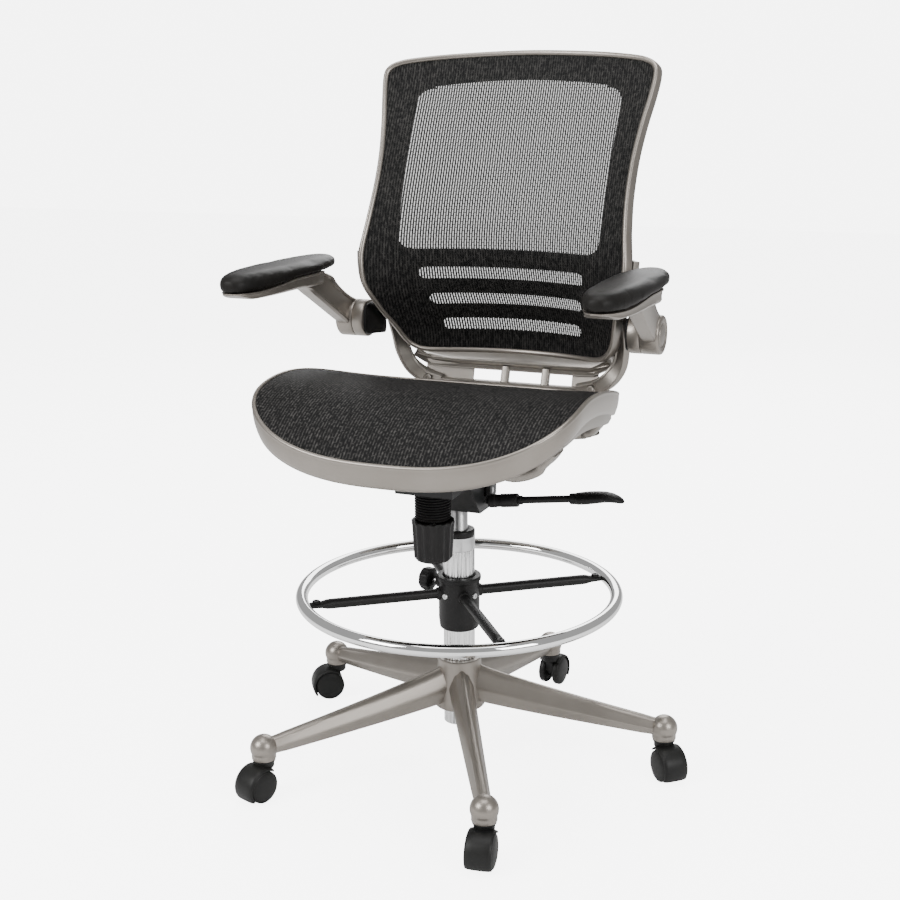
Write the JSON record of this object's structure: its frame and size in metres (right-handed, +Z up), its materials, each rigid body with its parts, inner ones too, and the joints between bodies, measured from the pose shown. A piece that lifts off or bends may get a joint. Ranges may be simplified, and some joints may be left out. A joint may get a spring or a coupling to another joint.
{
  "type": "drafting chair",
  "caption": "Mid-back mesh drafting chair with curved mesh seat, flip-up padded arms, tilt housing, gas lift, foot ring and a star base on twin-wheel casters.",
  "frame": {"origin": "middle of the footprint, on the floor", "axes": "+Z up, the seat faces -Y, +X is the chair's own left"},
  "size_m": [0.6957, 0.6973, 1.1004],
  "materials": {
    "silver_paint": "satin warm silver paint",
    "chrome": "polished chrome",
    "bright_aluminium": "bright drawn metal",
    "zinc_steel": "zinc plated steel",
    "black_steel": "black powder coat",
    "black_plastic": "matte black moulding",
    "black_nylon": "matte black nylon",
    "black_mesh": "open woven mesh",
    "soft_black_skin": "soft black skin"
  },
  "bodies": {
    "base": {"base_casting": "silver_paint", "outer_column": "bright_aluminium", "column_bush": "black_plastic"},
    "ring": {"foot_ring": "chrome", "ring_spoke_1": "black_plastic", "ring_spoke_2": "black_plastic", "ring_spoke_3": "black_plastic", "ring_spoke_4": "black_plastic", "ring_collar": "black_plastic"},
    "ring_clamp": {"clamp_knob": "black_plastic", "clamp_stud": "zinc_steel"},
    "rod": {"piston_rod": "zinc_steel"},
    "post": {"gas_cylinder": "zinc_steel", "mechanism_housing": "black_steel", "tension_spring": "zinc_steel", "tension_cup": "black_plastic", "tilt_shaft": "zinc_steel"},
    "valve": {"valve_button": "zinc_steel"},
    "lever_hub": {"lever_yoke": "black_plastic"},
    "lever": {"lever_rod": "black_plastic", "lever_paddle": "black_plastic"},
    "tension": {"tension_knob": "black_plastic", "tension_bolt": "zinc_steel"},
    "seat": {"seat_plate": "black_steel", "seat_frame": "silver_paint", "seat_mesh": "black_mesh", "seat_bracket": "silver_paint", "back_frame": "silver_paint", "back_shell": "black_plastic", "back_mesh": "black_mesh", "back_bracket": "silver_paint", "arm_mount_left": "black_plastic", "arm_mount_right": "black_plastic", "arm_hub_left": "silver_paint", "arm_hub_right": "silver_paint"},
    "arm_left": {"arm_body_left": "silver_paint", "arm_pad_left": "soft_black_skin"},
    "arm_right": {"arm_body_right": "silver_paint", "arm_pad_right": "soft_black_skin"},
    "caster_1": {"caster_hood_1": "black_plastic", "caster_stem_1": "zinc_steel"},
    "wheel_1_left": {"caster_wheel_left_1": "black_nylon"},
    "wheel_1_right": {"caster_wheel_right_1": "black_nylon"},
    "caster_2": {"caster_hood_2": "black_plastic", "caster_stem_2": "zinc_steel"},
    "wheel_2_left": {"caster_wheel_left_2": "black_nylon"},
    "wheel_2_right": {"caster_wheel_right_2": "black_nylon"},
    "caster_3": {"caster_hood_3": "black_plastic", "caster_stem_3": "zinc_steel"},
    "wheel_3_left": {"caster_wheel_left_3": "black_nylon"},
    "wheel_3_right": {"caster_wheel_right_3": "black_nylon"},
    "caster_4": {"caster_hood_4": "black_plastic", "caster_stem_4": "zinc_steel"},
    "wheel_4_left": {"caster_wheel_left_4": "black_nylon"},
    "wheel_4_right": {"caster_wheel_right_4": "black_nylon"},
    "caster_5": {"caster_hood_5": "black_plastic", "caster_stem_5": "zinc_steel"},
    "wheel_5_left": {"caster_wheel_left_5": "black_nylon"},
    "wheel_5_right": {"caster_wheel_right_5": "black_nylon"}
  },
  "joints": [
    {"name": "seat_swivel", "type": "hinge", "parent": "base", "child": "rod", "pos_m": [-0.0118, -0.0176, 0.0655], "axis": [0, 0, 1], "continuous": true},
    {"name": "seat_lift", "type": "slide", "parent": "rod", "child": "post", "axis": [0, 0, 1], "range_m": [0, 0.197]},
    {"name": "seat_tilt", "type": "hinge", "parent": "post", "child": "seat", "pos_m": [-0.0118, -0.0726, 0.497], "axis": [-1, 0, 0], "range_deg": [0, 14], "stiffness_Nm_per_rad": 150, "springref_deg": -14.32},
    {"name": "lever_lift", "type": "hinge", "parent": "post", "child": "lever_hub", "pos_m": [0.0402, -0.0176, 0.4327], "axis": [0, -1, 0], "range_deg": [0, 4], "stiffness_Nm_per_rad": 4, "springref_deg": -8.59},
    {"name": "lever_slide", "type": "slide", "parent": "lever_hub", "child": "lever", "axis": [0.9917, 0, 0.1288], "range_m": [0, 0.012]},
    {"name": "valve_press", "type": "slide", "parent": "post", "child": "valve", "axis": [0, 0, -1], "range_m": [0, 0.0042], "stiffness_N_per_m": 2000, "springref_m": -0.002},
    {"name": "tension_turn", "type": "hinge", "parent": "post", "child": "tension", "pos_m": [-0.0118, -0.1176, 0.364], "axis": [0, 0, 1], "range_deg": [-900, 900]},
    {"name": "ring_slide", "type": "slide", "parent": "base", "child": "ring", "axis": [0, 0, 1], "range_m": [-0.045, 0.055]},
    {"name": "ring_clamp_turn", "type": "hinge", "parent": "ring", "child": "ring_clamp", "pos_m": [-0.04351, -0.01331, 0.292], "axis": [-0.991, 0.134, 0], "range_deg": [0, 540]},
    {"name": "arm_flip_left", "type": "hinge", "parent": "seat", "child": "arm_left", "pos_m": [0.2107, 0.1424, 0.675], "axis": [-1, 0, 0], "range_deg": [0, 95]},
    {"name": "arm_flip_right", "type": "hinge", "parent": "seat", "child": "arm_right", "pos_m": [-0.2343, 0.1424, 0.675], "axis": [-1, 0, 0], "range_deg": [0, 95]},
    {"name": "caster_swivel_1", "type": "hinge", "parent": "base", "child": "caster_1", "pos_m": [0.14107, -0.3027, 0.05], "axis": [0, 0, 1], "continuous": true},
    {"name": "wheel_roll_1_left", "type": "hinge", "parent": "caster_1", "child": "wheel_1_left", "pos_m": [0.14316, -0.31756, 0.02469], "axis": [0.9903, 0.1392, 0], "continuous": true},
    {"name": "wheel_roll_1_right", "type": "hinge", "parent": "caster_1", "child": "wheel_1_right", "pos_m": [0.14316, -0.31756, 0.02469], "axis": [0.9903, 0.1392, 0], "continuous": true},
    {"name": "caster_swivel_2", "type": "hinge", "parent": "base", "child": "caster_2", "pos_m": [0.30659, 0.03969, 0.05], "axis": [0, 0, 1], "continuous": true},
    {"name": "wheel_roll_2_left", "type": "hinge", "parent": "caster_2", "child": "wheel_2_left", "pos_m": [0.31682, 0.02872, 0.02469], "axis": [0.7314, 0.682, 0], "continuous": true},
    {"name": "wheel_roll_2_right", "type": "hinge", "parent": "caster_2", "child": "wheel_2_right", "pos_m": [0.31682, 0.02872, 0.02469], "axis": [0.7314, 0.682, 0], "continuous": true},
    {"name": "caster_swivel_3", "type": "hinge", "parent": "base", "child": "caster_3", "pos_m": [0.0321, 0.30291, 0.05], "axis": [0, 0, 1], "continuous": true},
    {"name": "wheel_roll_3_left", "type": "hinge", "parent": "caster_3", "child": "wheel_3_left", "pos_m": [0.03393, 0.3178, 0.02469], "axis": [-0.9925, 0.1219, 0], "continuous": true},
    {"name": "wheel_roll_3_right", "type": "hinge", "parent": "caster_3", "child": "wheel_3_right", "pos_m": [0.03393, 0.3178, 0.02469], "axis": [-0.9925, 0.1219, 0], "continuous": true},
    {"name": "caster_swivel_4", "type": "hinge", "parent": "base", "child": "caster_4", "pos_m": [-0.30305, 0.1232, 0.05], "axis": [0, 0, 1], "continuous": true},
    {"name": "wheel_roll_4_left", "type": "hinge", "parent": "caster_4", "child": "wheel_4_left", "pos_m": [-0.31534, 0.11459, 0.02469], "axis": [0.5736, -0.8192, 0], "continuous": true},
    {"name": "wheel_roll_4_right", "type": "hinge", "parent": "caster_4", "child": "wheel_4_right", "pos_m": [-0.31534, 0.11459, 0.02469], "axis": [0.5736, -0.8192, 0], "continuous": true},
    {"name": "caster_swivel_5", "type": "hinge", "parent": "base", "child": "caster_5", "pos_m": [-0.23571, -0.25109, 0.05], "axis": [0, 0, 1], "continuous": true},
    {"name": "wheel_roll_5_left", "type": "hinge", "parent": "caster_5", "child": "wheel_5_left", "pos_m": [-0.24059, -0.26527, 0.02469], "axis": [0.9455, -0.3256, 0], "continuous": true},
    {"name": "wheel_roll_5_right", "type": "hinge", "parent": "caster_5", "child": "wheel_5_right", "pos_m": [-0.24059, -0.26527, 0.02469], "axis": [0.9455, -0.3256, 0], "continuous": true}
  ],
  "couplings": [
    {"joint": "valve_press", "follows": "lever_lift", "m_per_rad": 0.056}
  ]
}
